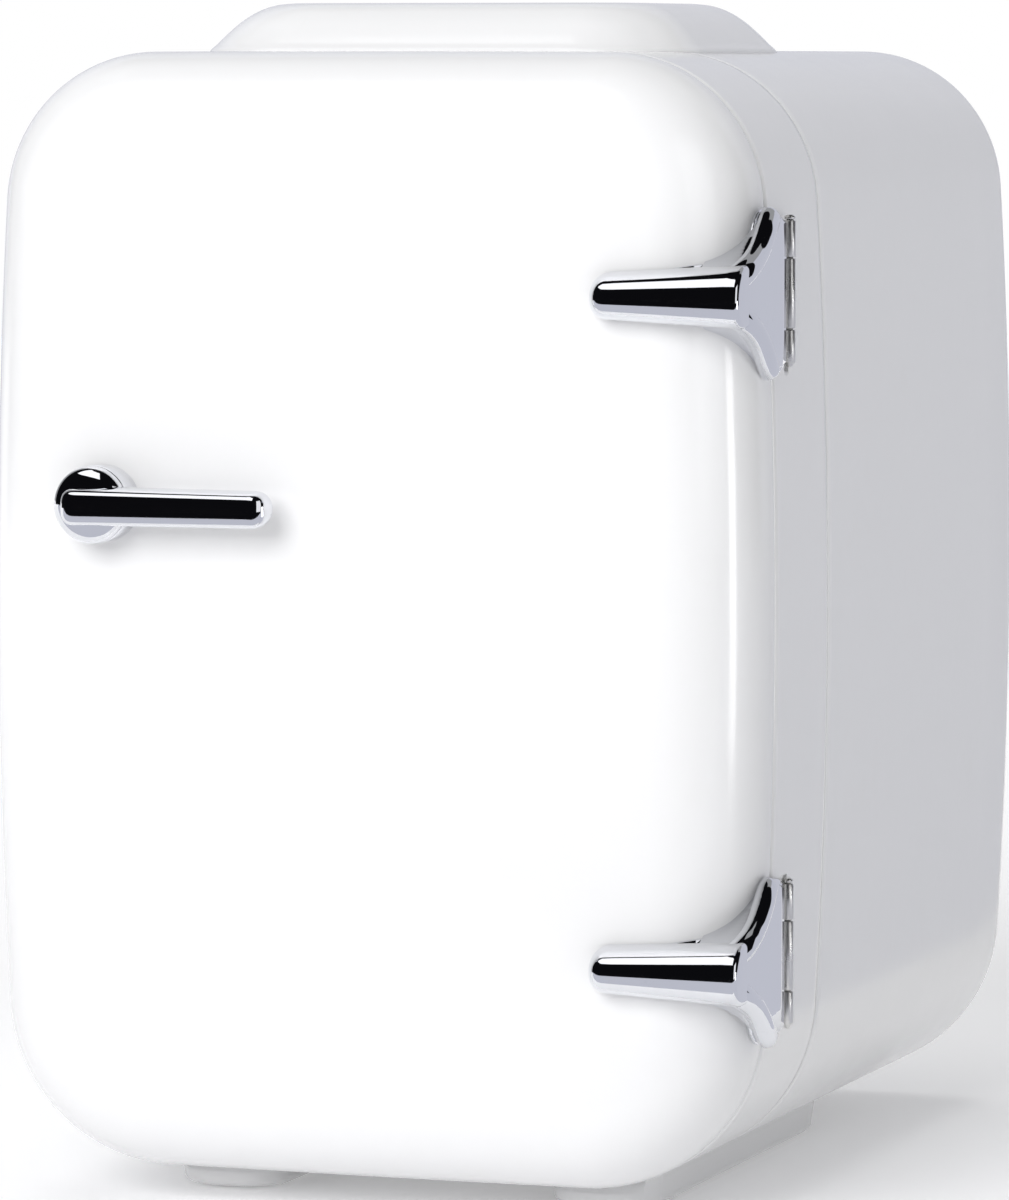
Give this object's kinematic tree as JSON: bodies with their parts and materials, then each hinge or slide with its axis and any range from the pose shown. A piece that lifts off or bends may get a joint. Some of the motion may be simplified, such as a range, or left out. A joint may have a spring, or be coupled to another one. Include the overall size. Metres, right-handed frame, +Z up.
{
  "type": "mini fridge",
  "caption": "Retro tabletop mini fridge with a rounded gloss body, a hinged door with chrome bar handle and strap hinges, a raised top with a folding carry handle, and skid feet.",
  "frame": {"origin": "on the table under the body's centre line, midway between the front of the door handle and the rear cover", "axes": "+X to the right seen from the front, +Y from the door to the rear cover, +Z up"},
  "size_m": [0.1819, 0.2416, 0.265],
  "materials": {
    "gloss_white": "gloss",
    "liner_plastic": "satin",
    "shelf_plastic": "satin",
    "foam": "matte",
    "gasket_rubber": "matte",
    "foot_rubber": "matte",
    "chrome": "polished",
    "steel": "satin",
    "aluminium": "satin",
    "ceramic": "matte",
    "circuit_board": "satin",
    "black_plastic": "satin",
    "switch_plastic": "satin",
    "green_lens": "gloss",
    "red_lens": "gloss"
  },
  "bodies": {
    "cabinet": {"cabinet_shell": "gloss_white", "cabinet_front_collar": "gloss_white", "top_housing": "gloss_white", "rear_cover": "gloss_white", "inner_liner": "liner_plastic", "cabinet_foam": "foam", "shelf": "shelf_plastic", "cold_plate": "aluminium", "cold_block": "aluminium", "peltier_module": "ceramic", "heat_sink": "aluminium", "fan_housing": "black_plastic", "control_board": "circuit_board", "switch_housing": "black_plastic", "ac_inlet": "black_plastic", "mains_pin_left": "steel", "mains_pin_right": "steel", "dc_inlet": "black_plastic", "indicator_cold": "green_lens", "indicator_warm": "red_lens", "foot_skid_left": "gloss_white", "foot_skid_right": "gloss_white", "foot_pad_front_left": "foot_rubber", "foot_pad_front_right": "foot_rubber", "foot_pad_rear_left": "foot_rubber", "foot_pad_rear_right": "foot_rubber", "strike_plate": "steel", "cabinet_hinge_leaf_upper": "chrome", "cabinet_hinge_leaf_lower": "chrome", "hinge_pin_upper": "steel", "hinge_pin_lower": "steel", "cover_screw_1": "steel", "cover_screw_2": "steel", "cover_screw_3": "steel", "cover_screw_4": "steel"},
    "door": {"door_front_shell": "gloss_white", "door_liner": "liner_plastic", "door_foam": "foam", "door_gasket": "gasket_rubber", "door_magnet": "steel", "handle_base": "chrome", "handle_bar": "chrome", "handle_screw_left": "steel", "handle_screw_right": "steel", "hinge_strap_upper": "chrome", "hinge_strap_lower": "chrome", "strap_screw_upper": "steel", "strap_screw_lower": "steel"},
    "fan": {"fan_rotor": "black_plastic"},
    "mode_switch": {"switch_rocker": "switch_plastic"},
    "carry_handle_body": {"carry_handle": "gloss_white"}
  },
  "joints": [
    {"name": "door_hinge", "type": "hinge", "parent": "cabinet", "child": "door", "pos_m": [0.0892, -0.0715, 0.13075], "axis": [0, 0, 1], "range_deg": [0, 120]},
    {"name": "fan_spin", "type": "hinge", "parent": "cabinet", "child": "fan", "pos_m": [0, 0.1086, 0.15], "axis": [0, 1, 0], "continuous": true},
    {"name": "mode_switch_rock", "type": "hinge", "parent": "cabinet", "child": "mode_switch", "pos_m": [0, 0.119, 0.062], "axis": [1, 0, 0], "range_deg": [-8, 8]},
    {"name": "carry_handle_fold", "type": "hinge", "parent": "cabinet", "child": "carry_handle_body", "pos_m": [0, 0.01, 0.261], "axis": [-1, 0, 0], "range_deg": [0, 90]}
  ]
}
